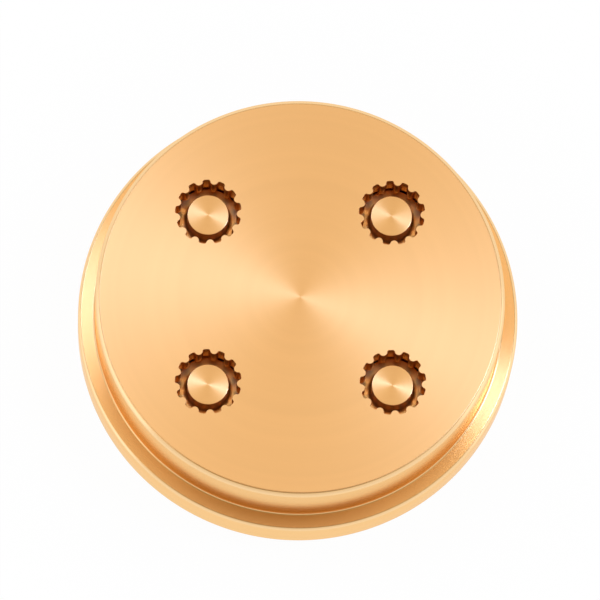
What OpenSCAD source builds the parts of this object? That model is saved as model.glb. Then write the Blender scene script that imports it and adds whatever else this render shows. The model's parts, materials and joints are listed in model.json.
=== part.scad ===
// Pasta extrusion die: a turned bronze disc with four ribbed tube openings.
// The axis is Z, the rear face lies on z = 0 and the pasta leaves upwards through the front face.
// All lengths are in millimetres.

/* [Disc] */
// Outer diameter of the rear flange
flange_d = 59; // [56:0.5:75]
// Thickness of the rear flange
flange_h = 6.3; // [4:0.1:10]
// Width of the ring-shaped shoulder on which the machine's ring nut presses
shoulder_w = 2.25; // [1.2:0.05:4]
// Height of the whole disc, from the rear face to the front face
disc_h = 16.4; // [14:0.1:24]
// Bevel round the front face
face_bevel = 0.5; // [0.1:0.05:1]
// Fillet in the corner between the shoulder and the raised front
corner_fillet = 0.3; // [0.1:0.05:0.8]
// Bevel round the front edge of the flange
rim_bevel = 0.35; // [0.1:0.05:0.8]
// Bevel round the rear edge of the flange
rear_bevel = 0.3; // [0.1:0.05:0.8]

/* [Openings] */
// Spacing of the openings from left to right
opening_span_x = 24.5; // [20:0.1:28]
// Spacing of the openings from front to back
opening_span_y = 23.3; // [20:0.1:28]
// Number of grooves in each opening
groove_count = 13; // [10:1:14]
// Diameter across the rounded ribs between the grooves
rib_d = 7.58; // [7:0.02:8.6]
// Depth of each groove, from the rib tips to the groove floor
groove_depth = 0.6; // [0.4:0.02:0.8]
// Width of each groove
groove_w = 1; // [0.7:0.05:1.2]
// Corner radius at the groove floor
groove_corner = 0.28; // [0.1:0.02:0.32]
// Angle of the first groove, measured from the +X direction
groove_turn = 93.4; // [80:0.1:110]
// Length of the grooved land behind the front face
land_len = 3.5; // [2.5:0.1:4.5]

/* [Core pins] */
// Gap between the pin tip and the ribs, the wall of the pasta tube
tube_wall = 1.02; // [0.7:0.02:1.4]
// Depth of the tip's end below the front face
tip_recess = 1.6; // [0:0.1:2.4]
// Bevel round the tip's end
tip_bevel = 0.1; // [0.05:0.01:0.3]
// Gap between the rear end of the land and the pin's shoulder, through which the dough flows
step_gap = 1; // [0.6:0.1:2]
// Width of the pin's shoulder, between the tip and the stem
step_w = 1.65; // [0.8:0.05:2]
// Height by which the shoulder falls from the tip to the stem
step_drop = 0.08; // [0:0.02:0.4]
// Fillet in the corner between the shoulder and the tip
step_fillet = 0.6; // [0.2:0.05:0.75]
// Bevel round the rear end of the stem
stem_bevel = 0.6; // [0.2:0.05:1.2]

/* [Feed bores] */
// Gap between the pin's stem and the feed bore
feed_gap = 2.1; // [1.6:0.05:2.6]
// Width of the ledge on which the bridge arms sit
seat_w = 0.8; // [0.5:0.05:1.6]
// Depth of the ledge below the rear face
seat_depth = 4.2; // [3.8:0.1:6]

/* [Bridge] */
// Number of arms that carry each pin
arm_count = 3; // [2:1:4]
// Width of each arm
arm_w = 3; // [2:0.1:4]
// Thickness of each arm along the axis
arm_h = 3; // [2:0.1:3.6]
// Bevel along the rear edges of each arm, which part the dough
arm_bevel = 0.8; // [0.2:0.05:0.95]
// Clearance between the arm ends and the wall of the seat
seat_clearance = 0.03; // [0.01:0.01:0.1]

/* [Hidden] */
$fn = 96;

// Length by which a cutting tool runs out past a surface
runout = 1;
// Overlap of each round rib with the groove sides beside it
rib_lap = 0.02;

body_colour = "#E9B673";
pin_colour = "#EFC58A";

flange_r = flange_d / 2;
boss_r = flange_r - shoulder_w;

rib_r = rib_d / 2;
groove_r = rib_r + groove_depth;
half_pitch = 180 / groove_count;
// Radius of a rib tip whose sides run smoothly into the grooves beside it
rib_tip_r = (rib_r * sin(half_pitch) - groove_w / 2) / (1 - sin(half_pitch)) + rib_lap;
rib_centre_r = rib_r + rib_tip_r;
// Radius of the round hole in which the grooves start; its edge always lies in the ribs or the grooves
hole_r = min(rib_centre_r * cos(half_pitch), groove_r - rib_lap) - 2 * rib_lap;

tip_r = rib_r - tube_wall;
stem_r = tip_r + step_w;
feed_r = stem_r + feed_gap;
seat_r = feed_r + seat_w;

// The lead-in narrows at 45 degrees from the feed bore to just outside the groove floors
lead_margin = 0.2;
lead_h = max(feed_r - groove_r - lead_margin, lead_margin);

land_z = disc_h - land_len;
tip_z = disc_h - tip_recess;
step_z = land_z - lead_margin - step_gap;
step_slope = atan(step_drop / step_w);
bridge_z = seat_depth - arm_h;

// Puts a shape on the axis of one opening; the sides are -1 or 1
module at_opening(side_x, side_y) {
    translate([side_x * opening_span_x / 2, side_y * opening_span_y / 2, 0])
        children();
}

// One groove with rounded floor corners, pointing along +X
module groove() {
    corner_x = groove_r - groove_corner;
    corner_y = groove_w / 2 - groove_corner;
    translate([0, -groove_w / 2])
        square([corner_x, groove_w]);
    translate([0, -corner_y])
        square([groove_r, 2 * corner_y]);
    for (side = [-1, 1])
        translate([corner_x, side * corner_y])
            circle(r = groove_corner);
}

// Outline of one opening: a round hole with grooves, and round ribs between them
module opening_outline() {
    rotate(groove_turn)
        difference() {
            union() {
                circle(r = hole_r);
                for (i = [0 : groove_count - 1])
                    rotate(2 * half_pitch * i)
                        groove();
            }
            for (i = [0 : groove_count - 1])
                rotate(2 * half_pitch * (i + 0.5))
                    translate([rib_centre_r, 0])
                        circle(r = rib_tip_r);
        }
}

// Everything that is cut from the disc for one opening
module opening_cut() {
    translate([0, 0, land_z - lead_margin])
        linear_extrude(land_len + lead_margin + runout)
            opening_outline();
    translate([0, 0, land_z - lead_h])
        cylinder(h = lead_h, r1 = feed_r, r2 = feed_r - lead_h);
    translate([0, 0, -runout])
        cylinder(h = land_z - lead_h + runout, r = feed_r);
    translate([0, 0, -runout])
        cylinder(h = seat_depth + runout, r = seat_r);
}

// Section of a fillet that fills the corner between a wall and a floor that falls outwards by a slope
module fillet_section(corner_r, corner_z, size, slope = 0) {
    rise = size * (1 - sin(slope)) / cos(slope);
    translate([corner_r, corner_z])
        difference() {
            polygon([
                [0, 0],
                [size * (1 - sin(slope)), rise - size * cos(slope)],
                [size, rise],
                [0, rise]
            ]);
            translate([size, rise])
                circle(r = size);
        }
}

// Turned disc: flange, shoulder and raised front
module disc() {
    rotate_extrude()
        union() {
            polygon([
                [0, 0],
                [flange_r - rear_bevel, 0],
                [flange_r, rear_bevel],
                [flange_r, flange_h - rim_bevel],
                [flange_r - rim_bevel, flange_h],
                [boss_r, flange_h],
                [boss_r, disc_h - face_bevel],
                [boss_r - face_bevel, disc_h],
                [0, disc_h]
            ]);
            fillet_section(boss_r, flange_h, corner_fillet);
        }
}

module die_body() {
    color(body_colour)
        difference() {
            disc();
            for (side_x = [-1, 1], side_y = [-1, 1])
                at_opening(side_x, side_y)
                    opening_cut();
        }
}

// Turned part of a pin: stem, shoulder and tip
module pin_shaft() {
    rotate_extrude()
        union() {
            polygon([
                [0, bridge_z],
                [stem_r - stem_bevel, bridge_z],
                [stem_r, bridge_z + stem_bevel],
                [stem_r, step_z - step_drop],
                [tip_r, step_z],
                [tip_r, tip_z - tip_bevel],
                [tip_r - tip_bevel, tip_z],
                [0, tip_z]
            ]);
            fillet_section(tip_r, step_z, step_fillet, step_slope);
        }
}

// Arms that stand out from the stem and end at the wall of the seat
module bridge_arms() {
    arm_r = seat_r - seat_clearance;
    intersection() {
        translate([0, 0, bridge_z - runout])
            cylinder(h = arm_h + 2 * runout, r = arm_r);
        for (i = [0 : arm_count - 1])
            rotate(90 + 360 / arm_count * i)
                translate([0, 0, seat_depth])
                    rotate([90, 0, 90])
                        linear_extrude(arm_r + runout)
                            polygon([
                                [-arm_w / 2, 0],
                                [-arm_w / 2, arm_bevel - arm_h],
                                [arm_bevel - arm_w / 2, -arm_h],
                                [arm_w / 2 - arm_bevel, -arm_h],
                                [arm_w / 2, arm_bevel - arm_h],
                                [arm_w / 2, 0]
                            ]);
    }
}

module core_pin(side_x, side_y) {
    color(pin_colour)
        at_opening(side_x, side_y)
            union() {
                pin_shaft();
                bridge_arms();
            }
}

die_body();
core_pin(-1, 1);  // core_pin_back_left
core_pin(1, 1);  // core_pin_back_right
core_pin(-1, -1);  // core_pin_front_left
core_pin(1, -1);  // core_pin_front_right
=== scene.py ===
import json
import math

import bmesh
import bpy
from mathutils import Matrix, Vector

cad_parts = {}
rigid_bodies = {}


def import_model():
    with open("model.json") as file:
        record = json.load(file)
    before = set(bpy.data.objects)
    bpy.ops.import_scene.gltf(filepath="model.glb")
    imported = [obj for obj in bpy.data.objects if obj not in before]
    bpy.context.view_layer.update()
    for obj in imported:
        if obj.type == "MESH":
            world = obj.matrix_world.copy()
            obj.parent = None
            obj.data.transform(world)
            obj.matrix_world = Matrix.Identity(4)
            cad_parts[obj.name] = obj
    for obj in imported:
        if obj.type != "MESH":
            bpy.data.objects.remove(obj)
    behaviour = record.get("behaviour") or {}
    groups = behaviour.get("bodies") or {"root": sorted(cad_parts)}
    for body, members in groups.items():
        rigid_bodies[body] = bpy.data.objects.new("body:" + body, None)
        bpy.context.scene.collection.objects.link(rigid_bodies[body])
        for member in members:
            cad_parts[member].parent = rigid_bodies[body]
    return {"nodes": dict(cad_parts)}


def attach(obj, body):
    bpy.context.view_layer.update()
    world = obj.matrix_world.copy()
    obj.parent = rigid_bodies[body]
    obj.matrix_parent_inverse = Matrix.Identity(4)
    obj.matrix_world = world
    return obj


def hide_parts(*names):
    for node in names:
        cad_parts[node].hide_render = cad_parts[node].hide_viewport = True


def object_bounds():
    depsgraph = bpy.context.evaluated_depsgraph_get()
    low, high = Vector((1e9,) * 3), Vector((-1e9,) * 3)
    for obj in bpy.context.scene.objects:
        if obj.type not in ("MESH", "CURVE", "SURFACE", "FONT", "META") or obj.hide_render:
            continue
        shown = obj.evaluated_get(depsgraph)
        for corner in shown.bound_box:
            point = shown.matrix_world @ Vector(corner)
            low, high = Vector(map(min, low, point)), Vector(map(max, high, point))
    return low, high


# Pasta extrusion die: a turned bronze disc with four ribbed tube openings, and a core pin in each
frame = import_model()
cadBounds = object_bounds()
print("frame: nodes", sorted(frame["nodes"]))

mm = 0.001  # sizes are millimetres where no note says otherwise, Blender works in metres
sides = {  # left/right and front/back place of each core pin
    "core_pin_back_left": (-1, 1),
    "core_pin_back_right": (1, 1),
    "core_pin_front_left": (-1, -1),
    "core_pin_front_right": (1, -1),
}


def linear(hexColour):  # sRGB hex to a linear colour
    channels = [int(hexColour[i:i + 2], 16) / 255 for i in (1, 3, 5)]
    return [c / 12.92 if c <= 0.04045 else ((c + 0.055) / 1.055) ** 2.4 for c in channels] + [1.0]


def addNode(tree, kind, inputs=None, **settings):  # a node with its settings, values and links
    node = tree.nodes.new(kind)
    for name, value in settings.items():
        setattr(node, name, value)
    for key, value in (inputs or {}).items():
        if isinstance(value, bpy.types.NodeSocket):
            tree.links.new(value, node.inputs[key])
        else:
            node.inputs[key].default_value = value
    return node


def newMaterial(name):  # an empty material and its tree
    material = bpy.data.materials.new(name)
    material.use_nodes = True
    material.node_tree.nodes.clear()
    return material, material.node_tree


def newObject(name, data):
    piece = bpy.data.objects.new(name, data)
    bpy.context.scene.collection.objects.link(piece)
    return piece


def keepMesh(mesh, name):  # ends the building of a mesh and gives back the one that objects use
    kept = bpy.data.meshes.new(name)
    mesh.to_mesh(kept)
    mesh.free()
    return kept


# Finishes
finish = {
    "turnedColour": "#F3C285",   # copper and tin alloy, freshly turned
    "boredPaintedShadeColour": "#D2955B",    # inside the openings, painted darker than the face: painted shade in the recesses
    "wallPaintedLightColour": "#FAD4A0",     # upright walls and bevels, painted lighter than the face: painted highlight
    "shankPaintedLightColour": "#FFD090",    # sides and shoulders of the pins, painted lighter than the face: painted light in the deep openings
    "edgeTint": "#FFE6C0",       # keeps the colour of the metal in glancing light
    "faceRoughness": 0.365,
    "faceAnisotropy": 0.565,
    "rimRoughness": 0.25,        # the flange's shoulder, cut with a sharper tool: narrow streaks
    "rimAnisotropy": 0.985,
    "wallRoughness": 0.22,
    "wallAnisotropy": 0.3,
    "tipRoughness": 0.34,        # ends of the pins
    "tipAnisotropy": 0.79,
    "shankRoughness": 0.30,
    "shankAnisotropy": 0.75,
    "boredRoughness": 0.33,
    "ringPitch": 0.30,           # a real cut is about 0.05 mm, drawn coarser so that it shows
    "ringDepth": 0.001,
    "ringGloss": 0.008,          # change of the roughness from ring to ring
    "bandWidth": 2.2,            # slow change of the finish from the middle to the rim
    "bandTone": 0.015,           # share by which the colour changes with it
    "acrossRings": 0.25,         # part of a full turn from the rings to the light that they spread
    "streakWidth": 0.15,         # marks along the walls of the openings
    "streakStretch": 10,         # their length for a width of one
    "streakDepth": 0.002,
    "streakGloss": 0.04,
    "noiseLow": 0.3,             # a noise seldom leaves this range
    "noiseHigh": 0.7,
}


def turnedBronze(name, colour, roughness, anisotropy, centre=(0, 0)):
    # Bronze cut on a lathe: fine rings about the axis spread the light across them,
    # so lamps at the sides show as two bright wedges that meet at the axis
    material, tree = newMaterial(name)
    place = addNode(tree, "ShaderNodeTexCoord")
    local = addNode(tree, "ShaderNodeMapping", {
        "Vector": place.outputs["Object"],
        "Location": (-centre[0] * mm, -centre[1] * mm, 0),
    })
    flat = addNode(tree, "ShaderNodeVectorMath", {
        0: local.outputs["Vector"],
        1: (1, 1, 0),
    }, operation="MULTIPLY")
    radius = addNode(tree, "ShaderNodeVectorMath", {0: flat.outputs["Vector"]}, operation="LENGTH")
    around = addNode(tree, "ShaderNodeVectorMath", {
        0: (0, 0, 1),
        1: flat.outputs["Vector"],
    }, operation="CROSS_PRODUCT")
    tangent = addNode(tree, "ShaderNodeVectorMath", {0: around.outputs["Vector"]}, operation="NORMALIZE")
    # the tool's path runs out over the flat faces and down the walls: radius less height
    height = addNode(tree, "ShaderNodeSeparateXYZ", {"Vector": local.outputs["Vector"]})
    path = addNode(tree, "ShaderNodeMath", {
        0: radius.outputs["Value"],
        1: height.outputs["Z"],
    }, operation="SUBTRACT")
    rings = addNode(tree, "ShaderNodeTexNoise", {
        "W": path.outputs["Value"],
        "Scale": 1 / (finish["ringPitch"] * mm),
        "Detail": 3.0,
        "Roughness": 0.6,
    }, noise_dimensions="1D")
    bands = addNode(tree, "ShaderNodeTexNoise", {
        "W": path.outputs["Value"],
        "Scale": 1 / (finish["bandWidth"] * mm),
        "Detail": 2.0,
    }, noise_dimensions="1D")
    tone = addNode(tree, "ShaderNodeMapRange", {
        "Value": bands.outputs["Fac"],
        "From Min": finish["noiseLow"],
        "From Max": finish["noiseHigh"],
        "To Min": 1 - finish["bandTone"],
        "To Max": 1 + finish["bandTone"],
    })
    shade = addNode(tree, "ShaderNodeVectorMath", {
        0: linear(colour)[:3],
        1: tone.outputs["Result"],
    }, operation="MULTIPLY")
    gloss = addNode(tree, "ShaderNodeMapRange", {
        "Value": rings.outputs["Fac"],
        "From Min": finish["noiseLow"],
        "From Max": finish["noiseHigh"],
        "To Min": roughness - finish["ringGloss"],
        "To Max": roughness + finish["ringGloss"],
    })
    bump = addNode(tree, "ShaderNodeBump", {
        "Height": rings.outputs["Fac"],
        "Strength": 1.0,
        "Distance": finish["ringDepth"] * mm,
    })
    surface = addNode(tree, "ShaderNodeBsdfPrincipled", {
        "Base Color": shade.outputs["Vector"],
        "Metallic": 1.0,
        "Roughness": gloss.outputs["Result"],
        "Specular Tint": linear(finish["edgeTint"]),
        "Anisotropic": anisotropy,
        "Anisotropic Rotation": finish["acrossRings"],
        "Tangent": tangent.outputs["Vector"],
        "Normal": bump.outputs["Normal"],
    })
    addNode(tree, "ShaderNodeOutputMaterial", {"Surface": surface.outputs["BSDF"]})
    return material


def cutBronze(name, colour, roughness):
    # Bronze inside the openings: cut along the axis by a shaped tool, evenly satin
    material, tree = newMaterial(name)
    place = addNode(tree, "ShaderNodeTexCoord")
    stretched = addNode(tree, "ShaderNodeMapping", {
        "Vector": place.outputs["Object"],
        "Scale": (1, 1, 1 / finish["streakStretch"]),
    })
    streaks = addNode(tree, "ShaderNodeTexNoise", {
        "Vector": stretched.outputs["Vector"],
        "Scale": 1 / (finish["streakWidth"] * mm),
        "Detail": 2.0,
    })
    gloss = addNode(tree, "ShaderNodeMapRange", {
        "Value": streaks.outputs["Fac"],
        "From Min": finish["noiseLow"],
        "From Max": finish["noiseHigh"],
        "To Min": roughness - finish["streakGloss"],
        "To Max": roughness + finish["streakGloss"],
    })
    bump = addNode(tree, "ShaderNodeBump", {
        "Height": streaks.outputs["Fac"],
        "Strength": 1.0,
        "Distance": finish["streakDepth"] * mm,
    })
    surface = addNode(tree, "ShaderNodeBsdfPrincipled", {
        "Base Color": linear(colour),
        "Metallic": 1.0,
        "Roughness": gloss.outputs["Result"],
        "Specular Tint": linear(finish["edgeTint"]),
        "Normal": bump.outputs["Normal"],
    })
    addNode(tree, "ShaderNodeOutputMaterial", {"Surface": surface.outputs["BSDF"]})
    return material


faceBronze = turnedBronze(
    "fineTurnedBronze", finish["turnedColour"], finish["faceRoughness"], finish["faceAnisotropy"])
rimBronze = turnedBronze(
    "sharpTurnedBronze", finish["turnedColour"], finish["rimRoughness"], finish["rimAnisotropy"])
# upright walls and bevels take a lighter colour than the face, which is painted light
wallBronzePaintedLight = turnedBronze(
    "smoothBronzeWithPaintedLight", finish["wallPaintedLightColour"], finish["wallRoughness"], finish["wallAnisotropy"])
# the openings take a darker colour than the face, which is painted shade
openingBronze = cutBronze("cutBronze", finish["boredPaintedShadeColour"], finish["boredRoughness"])
print("finishes: turned bronze, cut bronze")

# Ribbed openings: one strip, a pitch wide, runs from the rear face up to the front face
disc = {
    "height": (cadBounds[1][2] - cadBounds[0][2]) / mm,
    "flangeRadius": (cadBounds[1][0] - cadBounds[0][0]) / 2 / mm,
    "flangeHeight": 6.3,
    "shoulderWidth": 2.25,
    "faceBevel": 0.5,
    "footFillet": 0.3,
    "rimBevel": 0.35,
    "rearBevel": 0.3,
    "faceEdge": 0.32,     # rounding of the bevel round the front face
    "rimEdge": 0.25,      # rounding of the flange's front bevel
    "rearEdge": 0.07,     # rounding of the flange's rear bevel
    "levelNormal": 0.9,   # a face counts as level where the height of its normal is over this
    "segments": 360,
}
opening = {
    "spanX": 24.5,
    "spanY": 23.3,
    "grooves": 13,
    "turn": 93.4,
    "ribDiameter": 7.58,
    "ribLap": 0.02,
    "grooveDepth": 0.6,
    "grooveWidth": 1.0,
    "grooveCorner": 0.28,
    "landLength": 3.5,
    "leadMargin": 0.2,
    "feedRadius": 6.52,
    "seatRadius": 7.32,
    "seatDepth": 4.2,
    "edgeBreak": 0.05,    # sharp edges taken off by hand
    "floorSteps": 2,
    "cornerSteps": 5,
    "ribSteps": 8,
    "breakSteps": 4,
}


def arcPoint(centre, radius, angle):
    return Vector((centre.x + radius * math.cos(angle), centre.y + radius * math.sin(angle)))


def pitchOutline(size):
    # from the middle of one groove floor over a rib to the next, each point with its way into the metal
    halfPitch = math.pi / size["grooves"]
    ribRadius = size["ribDiameter"] / 2
    floorRadius = ribRadius + size["grooveDepth"]
    halfWidth = size["grooveWidth"] / 2
    sine = math.sin(halfPitch)
    # round ribs, whose sides run smoothly into the grooves beside them
    tipRadius = (ribRadius * sine - halfWidth) / (1 - sine) + size["ribLap"]
    tipCentre = arcPoint(Vector((0, 0)), ribRadius + tipRadius, halfPitch)
    cornerRadius = size["grooveCorner"]
    cornerCentre = Vector((floorRadius - cornerRadius, halfWidth - cornerRadius))
    gap = tipCentre - cornerCentre
    along = (gap.length_squared + cornerRadius ** 2 - tipRadius ** 2) / (2 * gap.length)
    meetAngle = math.atan2(gap.y, gap.x) - math.acos(along / cornerRadius)
    meet = arcPoint(cornerCentre, cornerRadius, meetAngle)
    startAngle = math.atan2(meet.y - tipCentre.y, meet.x - tipCentre.x)
    endAngle = halfPitch - math.pi
    half = []
    for i in range(size["floorSteps"]):
        half.append((Vector((floorRadius, cornerCentre.y * i / size["floorSteps"])), Vector((1, 0))))
    for i in range(size["cornerSteps"]):
        angle = meetAngle * i / size["cornerSteps"]
        half.append((arcPoint(cornerCentre, cornerRadius, angle), arcPoint(Vector((0, 0)), 1, angle)))
    for i in range(size["ribSteps"] + 1):
        angle = startAngle + (endAngle - startAngle) * i / size["ribSteps"]
        half.append((arcPoint(tipCentre, tipRadius, angle), -arcPoint(Vector((0, 0)), 1, angle)))
    mirror = Matrix(((math.cos(2 * halfPitch), math.sin(2 * halfPitch)),
                     (math.sin(2 * halfPitch), -math.cos(2 * halfPitch))))
    other = [(mirror @ point, mirror @ inward) for point, inward in reversed(half[:-1])]
    return half + other


def pitchStrip(size):
    # rows of one pitch: seat, ledge, feed bore, lead-in, grooved land and the broken front edge
    floorRadius = size["ribDiameter"] / 2 + size["grooveDepth"]
    leadRadius = floorRadius + size["leadMargin"]
    landZ = disc["height"] - size["landLength"]
    edge = size["edgeBreak"]
    rounds = [
        (size["seatRadius"] + edge, 0),
        (size["seatRadius"], edge),
        (size["seatRadius"], size["seatDepth"]),
        (size["feedRadius"], size["seatDepth"]),
        (size["feedRadius"], landZ - size["feedRadius"] + leadRadius),
        (leadRadius, landZ),
    ]
    mesh = bmesh.new()
    rows = []
    outline = pitchOutline(size)
    for radius, z in rounds:
        row = []
        for point, inward in outline:
            way = point.normalized()
            row.append(mesh.verts.new(Vector((way.x * radius, way.y * radius, z)) * mm))
        rows.append(row)
    levels = [(0, landZ)]
    for i in range(size["breakSteps"] + 1):
        angle = math.pi / 2 * i / size["breakSteps"]
        levels.append((edge * (1 - math.cos(angle)), disc["height"] - edge + edge * math.sin(angle)))
    for offset, z in levels:
        row = []
        for point, inward in outline:
            spot = point + inward * offset
            row.append(mesh.verts.new(Vector((spot.x, spot.y, z)) * mm))
        rows.append(row)
    for low, high in zip(rows, rows[1:]):
        for i in range(len(low) - 1):
            mesh.faces.new((low[i], low[i + 1], high[i + 1], high[i]))
    return keepMesh(mesh, "pitchStrip")


def newTree(name, sockets):  # an empty geometry tree, and what it is given
    tree = bpy.data.node_groups.new(name, "GeometryNodeTree")
    for socketName, kind in sockets.items():
        tree.interface.new_socket(socketName, in_out="INPUT", socket_type=kind)
    tree.interface.new_socket("Geometry", in_out="OUTPUT", socket_type="NodeSocketGeometry")
    return tree, addNode(tree, "NodeGroupInput").outputs


def turnedCopies(tree, given, count):
    # the given geometry, set in even steps about the axis
    spots = addNode(tree, "GeometryNodePoints", {"Count": given[count]})
    index = addNode(tree, "GeometryNodeInputIndex")
    pitch = addNode(tree, "ShaderNodeMath", {0: 2 * math.pi, 1: given[count]}, operation="DIVIDE")
    angle = addNode(tree, "ShaderNodeMath", {
        0: index.outputs["Index"],
        1: pitch.outputs["Value"],
        2: given["Turn"],
    }, operation="MULTIPLY_ADD")
    euler = addNode(tree, "ShaderNodeCombineXYZ", {"Z": angle.outputs["Value"]})
    turn = addNode(tree, "FunctionNodeEulerToRotation", {"Euler": euler.outputs["Vector"]})
    return addNode(tree, "GeometryNodeInstanceOnPoints", {
        "Points": spots.outputs[0],
        "Instance": given["Geometry"],
        "Rotation": turn.outputs["Rotation"],
    })


def openingsTree():
    # a strip turned round each opening, at the corners of a rectangle
    tree, given = newTree("ribbedOpenings", {
        "Geometry": "NodeSocketGeometry",
        "Grooves": "NodeSocketInt",
        "Turn": "NodeSocketFloat",
        "Span X": "NodeSocketFloat",
        "Span Y": "NodeSocketFloat",
        "Weld": "NodeSocketFloat",
        "Finish": "NodeSocketMaterial",
    })
    ring = turnedCopies(tree, given, "Grooves")
    grid = addNode(tree, "GeometryNodeMeshGrid", {
        "Size X": given["Span X"],
        "Size Y": given["Span Y"],
        "Vertices X": 2,
        "Vertices Y": 2,
    })
    four = addNode(tree, "GeometryNodeInstanceOnPoints", {
        "Points": grid.outputs["Mesh"],
        "Instance": ring.outputs["Instances"],
    })
    real = addNode(tree, "GeometryNodeRealizeInstances", {"Geometry": four.outputs["Instances"]})
    welded = addNode(tree, "GeometryNodeMergeByDistance", {
        "Geometry": real.outputs["Geometry"],
        "Distance": given["Weld"],
    })
    coated = addNode(tree, "GeometryNodeSetMaterial", {
        "Geometry": welded.outputs["Geometry"],
        "Material": given["Finish"],
    })
    addNode(tree, "NodeGroupOutput", {"Geometry": coated.outputs["Geometry"]})
    return tree


def growMesh(name, seed, tree, values):
    # runs a tree on a seed mesh and gives back the plain mesh
    piece = newObject(name, seed)
    modifier = piece.modifiers.new(tree.name, "NODES")
    modifier.node_group = tree
    for socket in tree.interface.items_tree:
        if socket.in_out == "INPUT" and socket.name in values:
            modifier[socket.identifier] = values[socket.name]
    graph = bpy.context.evaluated_depsgraph_get()
    grown = bpy.data.meshes.new_from_object(piece.evaluated_get(graph))
    piece.modifiers.remove(modifier)
    bpy.data.objects.remove(piece)
    return grown


weld = 0.001 * mm  # points that lie closer than this are one
liners = growMesh("openingLiners", pitchStrip(opening), openingsTree(), {
    "Grooves": opening["grooves"],
    "Turn": math.radians(opening["turn"]),
    "Span X": opening["spanX"] * mm,
    "Span Y": opening["spanY"] * mm,
    "Weld": weld,
    "Finish": openingBronze,
})
print("openings:", len(liners.polygons), "faces")


# Turned disc round the openings
def roundedProfile(corners, steps=4):
    # corners of a section, each with its rounding, made into points with arcs
    points = []
    for i, (r, z, size) in enumerate(corners):
        here = Vector((r, z))
        if size == 0 or i in (0, len(corners) - 1):
            points.append(here)
            continue
        before = (Vector(corners[i - 1][:2]) - here).normalized()
        after = (Vector(corners[i + 1][:2]) - here).normalized()
        half = before.angle(after) / 2
        start = here + before * size / math.tan(half)
        end = here + after * size / math.tan(half)
        centre = here + (before + after).normalized() * size / math.sin(half)
        first = start - centre
        sweep = first.angle_signed(end - centre)
        for k in range(steps + 1):
            points.append(centre + Matrix.Rotation(-sweep * k / steps, 2) @ first)
    return points


def revolve(mesh, profile, segments):
    # rings of a section turned about the axis, with a single point where the section meets the axis
    rings = []
    for r, z in profile:
        if r * mm < weld:
            rings.append([mesh.verts.new(Vector((0, 0, z)) * mm)])
            continue
        ring = []
        for k in range(segments):
            angle = 2 * math.pi * k / segments
            spot = Vector((r * math.cos(angle), r * math.sin(angle), z))
            ring.append(mesh.verts.new(spot * mm))
        rings.append(ring)
    faces = []
    for low, high in zip(rings, rings[1:]):
        for k in range(segments):
            after = (k + 1) % segments
            corners = [
                low[k % len(low)],
                low[after % len(low)],
                high[after % len(high)],
                high[k % len(high)],
            ]
            faces.append(mesh.faces.new(list(dict.fromkeys(corners))))
    return faces


def fillPlane(mesh, z, normal):
    # the flat face between the loops that lie open at one height
    edges = [
        edge for edge in mesh.edges
        if edge.is_boundary and all(abs(vert.co.z - z * mm) < weld for vert in edge.verts)
    ]
    made = bmesh.ops.triangle_fill(mesh, edges=edges, use_beauty=True, normal=normal)
    return [item for item in made["geom"] if isinstance(item, bmesh.types.BMFace)]


def finishMesh(mesh, name, finishes, sharpAngle=math.radians(33)):
    # closed shell with its faces turned outwards, smooth except at true edges and level faces
    bmesh.ops.recalc_face_normals(mesh, faces=mesh.faces)
    solid = keepMesh(mesh, name)
    for item in finishes:
        solid.materials.append(item)
    solid.set_sharp_from_angle(angle=sharpAngle)
    for face in solid.polygons:
        heights = [solid.vertices[i].co.z for i in face.vertices]
        face.use_smooth = max(heights) - min(heights) > weld
    return newObject(name, solid)


def turnedDisc():
    flange = disc["flangeRadius"]
    boss = flange - disc["shoulderWidth"]
    top = disc["height"]
    shoulder = disc["flangeHeight"]
    profile = roundedProfile([
        (flange - disc["rearBevel"] - 2 * disc["rearEdge"], 0, 0),
        (flange - disc["rearBevel"], 0, disc["rearEdge"]),
        (flange, disc["rearBevel"], disc["rearEdge"]),
        (flange, shoulder - disc["rimBevel"], disc["rimEdge"]),
        (flange - disc["rimBevel"], shoulder, disc["rimEdge"]),
        (boss, shoulder, disc["footFillet"]),
        (boss, top - disc["faceBevel"], disc["faceEdge"]),
        (boss - disc["faceBevel"], top, disc["faceEdge"]),
        (boss - disc["faceBevel"] - disc["faceEdge"], top, 0),
    ])
    mesh = bmesh.new()
    mesh.from_mesh(liners)
    walls = list(mesh.faces)
    outside = revolve(mesh, profile, disc["segments"])
    mesh.normal_update()
    flats = fillPlane(mesh, top, (0, 0, 1)) + fillPlane(mesh, 0, (0, 0, -1))
    ring = []
    upright = []
    for face in outside:
        if abs(face.normal.z) <= disc["levelNormal"]:
            upright.append(face)
        elif abs(face.calc_center_median().z / mm - shoulder) < disc["footFillet"]:
            ring.append(face)
        else:
            flats.append(face)
    for finishIndex, faces in enumerate((flats, ring, upright, walls)):
        for face in faces:
            face.material_index = finishIndex
    return finishMesh(mesh, "dieBody", [faceBronze, rimBronze, wallBronzePaintedLight, openingBronze])


dieBody = turnedDisc()
print("die body:", len(dieBody.data.polygons), "faces")

# Core pins: a turned pin on a bridge of three arms
pin = {
    "tipRadius": 2.77,
    "tipRecess": 1.6,     # depth of the tip's end under the front face
    "tipBevel": 0.1,
    "stepDepth": 4.7,     # depth of the shoulder between the tip and the stem
    "stepDrop": 0.08,     # by which the shoulder falls outwards
    "stemRadius": 4.42,
    "stepFillet": 0.6,
    "stemBevel": 0.6,
    "bridgeZ": 1.2,       # rear end of the stem and the arms
    "arms": 3,
    "armWidth": 3.0,
    "armHeight": 3.0,
    "armBevel": 0.8,
    "armReach": 7.29,     # a little less than the seat's radius
    "armTurn": 90.0,
    "edgeRadius": 0.05,
    "segments": 128,
    "columns": 12,        # strips across an arm
}


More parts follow.
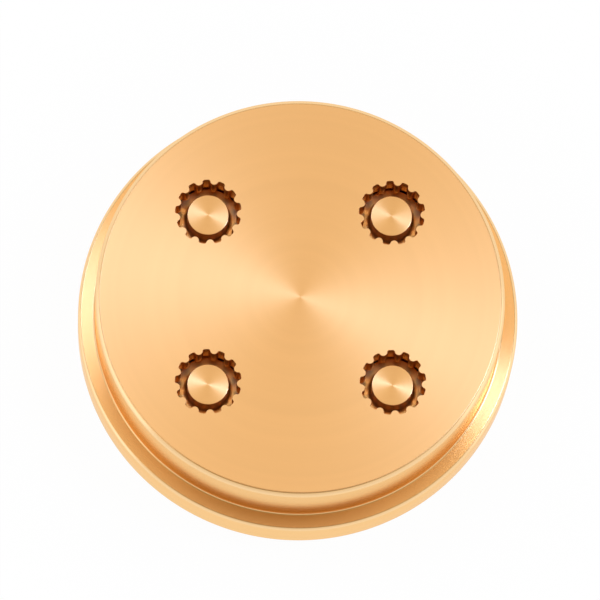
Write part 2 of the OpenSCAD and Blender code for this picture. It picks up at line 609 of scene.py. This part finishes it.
def shaftMesh():
    edge = pin["edgeRadius"]
    tipZ = disc["height"] - pin["tipRecess"]
    stepZ = disc["height"] - pin["stepDepth"]
    base = pin["bridgeZ"]
    profile = roundedProfile([
        (0, base, 0),
        (pin["stemRadius"] - pin["stemBevel"], base, edge),
        (pin["stemRadius"], base + pin["stemBevel"], edge),
        (pin["stemRadius"], stepZ - pin["stepDrop"], edge),
        (pin["tipRadius"], stepZ, pin["stepFillet"]),
        (pin["tipRadius"], tipZ, pin["tipBevel"]),
        (0, tipZ, 0),
    ])
    mesh = bmesh.new()
    revolve(mesh, profile, pin["segments"])
    bmesh.ops.recalc_face_normals(mesh, faces=mesh.faces)
    return keepMesh(mesh, "pinShaft")


def armMesh():
    # one arm along +X: a bar with bevelled rear edges and a round outer end
    half = pin["armWidth"] / 2
    low = pin["bridgeZ"]
    high = low + pin["armHeight"]
    inner = pin["tipRadius"] / 2  # well inside the shaft
    mesh = bmesh.new()
    rows = []
    for i in range(pin["columns"] + 1):
        y = -half + 2 * half * i / pin["columns"]
        bottom = low + max(0, abs(y) - half + pin["armBevel"])
        outer = math.sqrt(pin["armReach"] ** 2 - y ** 2)
        ends = [(inner, bottom), (outer, bottom), (outer, high), (inner, high)]
        rows.append([mesh.verts.new(Vector((x, y, z)) * mm) for x, z in ends])
    for near, far in zip(rows, rows[1:]):
        for k in range(len(near)):
            after = (k + 1) % len(near)
            mesh.faces.new((near[k], near[after], far[after], far[k]))
    mesh.faces.new(rows[0])
    mesh.faces.new(rows[-1])
    bmesh.ops.recalc_face_normals(mesh, faces=mesh.faces)
    return keepMesh(mesh, "bridgeArm")


def pinTree():
    # arms turned round the shaft and joined with it, moved to the middle of an opening
    tree, given = newTree("bridgedPin", {
        "Geometry": "NodeSocketGeometry",
        "Shaft": "NodeSocketObject",
        "Arms": "NodeSocketInt",
        "Turn": "NodeSocketFloat",
        "Centre": "NodeSocketVector",
        "Finish": "NodeSocketMaterial",
    })
    ring = turnedCopies(tree, given, "Arms")
    arms = addNode(tree, "GeometryNodeRealizeInstances", {"Geometry": ring.outputs["Instances"]})
    shaft = addNode(tree, "GeometryNodeObjectInfo", {"Object": given["Shaft"]})
    union = addNode(tree, "GeometryNodeMeshBoolean", {
        "Self Intersection": True,
    }, operation="UNION", solver="EXACT")
    tree.links.new(shaft.outputs["Geometry"], union.inputs["Mesh 2"])
    tree.links.new(arms.outputs["Geometry"], union.inputs["Mesh 2"])
    moved = addNode(tree, "GeometryNodeTransform", {
        "Geometry": union.outputs["Mesh"],
        "Translation": given["Centre"],
    })
    real = addNode(tree, "GeometryNodeRealizeInstances", {"Geometry": moved.outputs["Geometry"]})
    coated = addNode(tree, "GeometryNodeSetMaterial", {
        "Geometry": real.outputs["Geometry"],
        "Material": given["Finish"],
    })
    addNode(tree, "NodeGroupOutput", {"Geometry": coated.outputs["Geometry"]})
    return tree


bridge = pinTree()
shaft = newObject("pinShaft", shaftMesh())
tipEnd = (disc["height"] - pin["tipRecess"]) * mm
corePins = {}
for node, (sideX, sideY) in sides.items():
    centre = (sideX * opening["spanX"] / 2, sideY * opening["spanY"] / 2)
    pinBronze = turnedBronze(
        "turnedPinBronze" + node.replace("core_pin", ""),
        finish["turnedColour"], finish["tipRoughness"], finish["tipAnisotropy"], centre)
    # the pins' sides and shoulders take a lighter colour than their ends, which is painted light
    shankBronzePaintedLight = turnedBronze(
        "smoothPinBronzePaintedLight" + node.replace("core_pin", ""),
        finish["shankPaintedLightColour"], finish["shankRoughness"], finish["shankAnisotropy"], centre)
    grown = growMesh("pinArms", armMesh(), bridge, {
        "Shaft": shaft,
        "Arms": pin["arms"],
        "Turn": math.radians(pin["armTurn"]),
        "Centre": (centre[0] * mm, centre[1] * mm, 0),
        "Finish": pinBronze,
    })
    mesh = bmesh.new()
    mesh.from_mesh(grown)
    for face in mesh.faces:
        face.material_index = 0 if min(vert.co.z for vert in face.verts) > tipEnd - weld else 1
    bmesh.ops.remove_doubles(mesh, verts=mesh.verts, dist=weld)
    corePins[node] = finishMesh(mesh, node.replace("core_pin", "corePin"), [pinBronze, shankBronzePaintedLight])
bpy.data.objects.remove(shaft)
print("core pins:", [len(piece.data.polygons) for piece in corePins.values()], "faces")

# Each piece rides on the one body and stands for its node
for piece, node, slot in [(dieBody, "die_body", "die_body")] + [
    (corePins[node], node, "core_pins") for node in sides
]:
    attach(piece, "root")
    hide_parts(node)

# Camera: nearly above the die, a little to the front, from far away
view = {
    "distance": 1000.0,
    "azimuth": -7.13,     # degrees from the front
    "elevation": 75.2,
    "roll": -0.15,
    "lens": 451.6,
    "sensor": 36.0,
    "clipEnd": 100.0,     # metres
    "shiftRight": -0.06,  # of the aim from the middle of the face
    "shiftUp": -0.42,
}


def wayTo(azimuth, elevation):  # direction from the die, with angles in degrees and the azimuth from +X
    azimuth = math.radians(azimuth)
    elevation = math.radians(elevation)
    return Vector((
        math.cos(azimuth) * math.cos(elevation),
        math.sin(azimuth) * math.cos(elevation),
        math.sin(elevation)))


def frontWay(elevation):  # direction from the die to the side of the camera
    return wayTo(view["azimuth"] - 90, elevation)


def placeCamera():
    away = frontWay(view["elevation"])
    right = Vector((0, 1, 0)).cross(away).normalized()
    up = away.cross(right)
    lean = Matrix.Rotation(math.radians(view["roll"]), 3, away)
    right = lean @ right
    up = lean @ up
    aim = Vector((0, 0, disc["height"])) + right * view["shiftRight"] + up * view["shiftUp"]
    data = bpy.data.cameras.new("photoView")
    data.sensor_width = view["sensor"]
    data.lens = view["lens"]
    data.clip_end = view["clipEnd"]
    camera = newObject("photoView", data)
    turn = Matrix((right, up, away)).transposed().to_4x4()
    camera.matrix_world = Matrix.Translation((aim + away * view["distance"]) * mm) @ turn
    bpy.context.scene.camera = camera


placeCamera()
print("camera placed")

# Studio: a white floor and horizon, a warm room that is darker in front, and soft lights round the die
studio = {
    "floorRadius": 20.0,      # metres
    "floorSegments": 64,
    "floorColour": "#F7F7F6",
    "floorGlow": 0.97,
    "floorGap": 0.02,         # millimetres under the rear face, so that the two don't lie in one plane
    "glowInset": 1.0,         # millimetres from the rim inwards, over which the floor's glow ends
    "shadowReach": 2.0,       # flange radii, at which the shadow has faded to plain white
    "roomColour": "#FFF1D6",
    "roomLevel": 0.70,
    "gapColour": "#FFDDA8",   # darker and warmer in front, where the camera stands
    "gapLevel": 0.40,
    "gapElevation": 56,
    "gapOuter": 0.76,         # cosine of the angle from the gap's middle at which it begins
    "gapInner": 0.95,         # and of the angle within which it is darkest
    "horizonLow": 0.16,       # sine of the elevation at which the white horizon begins to fade
    "horizonHigh": 0.45,      # and of the elevation at which it has gone
    "softboxes": {  # angles in degrees seen from the die, distance and size in metres, brightness
        "left": {
            "azimuth": 138.7, "elevation": 63.7, "distance": 0.7, "roll": -2.5,
            "size": (0.138, 0.218), "level": 7.4, "colour": "#A2C2FF"},
        "right": {
            "azimuth": 5.4, "elevation": 58.5, "distance": 0.7, "roll": -22,
            "size": (0.12, 0.311), "level": 11.5, "colour": "#A2C2FF"},
        "overhead": {
            "azimuth": 85, "elevation": 80.6, "distance": 0.9, "roll": 0,
            "size": (0.3, 0.34), "level": 0.75, "colour": "#FFF4E4"},
        "leftFront": {
            "azimuth": 204, "elevation": 45, "distance": 0.7, "roll": 0,
            "size": (0.3, 0.3), "level": 0.5, "colour": "#FFF4E4"},
        "lowLeft": {
            "azimuth": 188, "elevation": 16, "distance": 0.8, "roll": 0,
            "size": (0.7, 0.3), "level": 0.5, "colour": "#E6EEFF"},
        "lowRight": {
            "azimuth": -4, "elevation": 13, "distance": 0.8, "roll": 0,
            "size": (0.6, 0.3), "level": 0.5, "colour": "#E6EEFF"},
    },
}


def layFloor():
    mesh = bmesh.new()
    bmesh.ops.create_circle(
        mesh, cap_ends=True, radius=studio["floorRadius"], segments=studio["floorSegments"])
    bmesh.ops.translate(mesh, verts=mesh.verts, vec=(0, 0, -studio["floorGap"] * mm))
    mesh.normal_update()
    bmesh.ops.reverse_faces(mesh, faces=[face for face in mesh.faces if face.normal.z < 0])
    ground = keepMesh(mesh, "floor")
    material, tree = newMaterial("paintedBoard")  # matt white board, even and without gloss
    rays = addNode(tree, "ShaderNodeLightPath")
    direct = addNode(tree, "ShaderNodeMath", {
        0: rays.outputs["Is Camera Ray"],
        1: rays.outputs["Is Glossy Ray"],
    }, operation="MAXIMUM")
    seen = addNode(tree, "ShaderNodeMath", {
        0: direct.outputs["Value"],
        1: rays.outputs["Is Transmission Ray"],
    }, operation="MAXIMUM")
    place = addNode(tree, "ShaderNodeTexCoord")
    reach = addNode(tree, "ShaderNodeVectorMath", {0: place.outputs["Object"]}, operation="LENGTH")
    clear = addNode(tree, "ShaderNodeMapRange", {  # no glow under the die, where no light comes
        "Value": reach.outputs["Value"],
        "From Min": (disc["flangeRadius"] - studio["glowInset"]) * mm,
        "From Max": disc["flangeRadius"] * mm,
    })
    fade = addNode(tree, "ShaderNodeMapRange", {  # shadow close to the die, plain white further out
        "Value": reach.outputs["Value"],
        "From Min": disc["flangeRadius"] * mm,
        "From Max": disc["flangeRadius"] * studio["shadowReach"] * mm,
        "To Min": studio["floorGlow"],
        "To Max": 1.0,
    }, interpolation_type="SMOOTHSTEP")
    glowing = addNode(tree, "ShaderNodeMath", {
        0: clear.outputs["Result"],
        1: fade.outputs["Result"],
    }, operation="MULTIPLY")
    share = addNode(tree, "ShaderNodeMath", {
        0: seen.outputs["Value"],
        1: glowing.outputs["Value"],
    }, operation="MULTIPLY")
    paint = addNode(tree, "ShaderNodeBsdfDiffuse", {"Color": linear(studio["floorColour"])})
    glow = addNode(tree, "ShaderNodeEmission", {"Color": (1, 1, 1, 1), "Strength": 1.0})
    mixed = addNode(tree, "ShaderNodeMixShader", {
        "Fac": share.outputs["Value"],
        1: paint.outputs["BSDF"],
        2: glow.outputs["Emission"],
    })
    side = addNode(tree, "ShaderNodeNewGeometry")
    glass = addNode(tree, "ShaderNodeBsdfTransparent")
    board = addNode(tree, "ShaderNodeMixShader", {  # clear from below, to show the rear of the die
        "Fac": side.outputs["Backfacing"],
        1: mixed.outputs["Shader"],
        2: glass.outputs["BSDF"],
    })
    addNode(tree, "ShaderNodeOutputMaterial", {"Surface": board.outputs["Shader"]})
    ground.materials.append(material)
    newObject("floor", ground)


def lightRoom():
    world = bpy.data.worlds.new("room")
    world.use_nodes = True
    tree = world.node_tree
    tree.nodes.clear()
    sky = addNode(tree, "ShaderNodeTexCoord")
    parts = addNode(tree, "ShaderNodeSeparateXYZ", {"Vector": sky.outputs["Generated"]})
    rise = addNode(tree, "ShaderNodeMapRange", {
        "Value": parts.outputs["Z"],
        "From Min": studio["horizonLow"],
        "From Max": studio["horizonHigh"],
    }, interpolation_type="SMOOTHSTEP")
    ahead = addNode(tree, "ShaderNodeVectorMath", {
        0: sky.outputs["Generated"],
        1: frontWay(studio["gapElevation"]),
    }, operation="DOT_PRODUCT")
    gap = addNode(tree, "ShaderNodeMapRange", {
        "Value": ahead.outputs["Value"],
        "From Min": studio["gapOuter"],
        "From Max": studio["gapInner"],
    }, interpolation_type="SMOOTHSTEP")
    wall = addNode(tree, "ShaderNodeMix", {
        "Factor": gap.outputs["Result"],
        "A": Vector(linear(studio["roomColour"])[:3]) * studio["roomLevel"],
        "B": Vector(linear(studio["gapColour"])[:3]) * studio["gapLevel"],
    }, data_type="VECTOR")
    rays = addNode(tree, "ShaderNodeLightPath")
    lit = addNode(tree, "ShaderNodeMath", {  # the camera itself sees plain white behind the die
        0: rise.outputs["Result"],
        1: rays.outputs["Is Camera Ray"],
    }, operation="SUBTRACT", use_clamp=True)
    colour = addNode(tree, "ShaderNodeMix", {
        "Factor": lit.outputs["Value"],
        "A": (1, 1, 1),
        "B": wall.outputs["Result"],
    }, data_type="VECTOR")
    light = addNode(tree, "ShaderNodeBackground", {"Color": colour.outputs["Result"], "Strength": 1.0})
    addNode(tree, "ShaderNodeOutputWorld", {"Surface": light.outputs["Background"]})
    bpy.context.scene.world = world
    for name, box in studio["softboxes"].items():
        way = wayTo(box["azimuth"], box["elevation"])
        data = bpy.data.lights.new(name, "AREA")
        data.shape = "RECTANGLE"
        data.size, data.size_y = box["size"]
        data.color = linear(box["colour"])[:3]
        data.energy = box["level"] * math.pi * box["size"][0] * box["size"][1]
        spin = Matrix.Rotation(math.radians(box["roll"]), 3, "Z")
        turn = way.to_track_quat("Z", "Y").to_matrix() @ spin
        lamp = newObject(name, data)
        lamp.matrix_world = Matrix.Translation(way * box["distance"]) @ turn.to_4x4()


layFloor()
lightRoom()
bpy.context.scene.view_settings.view_transform = "Standard"
print("studio lit")
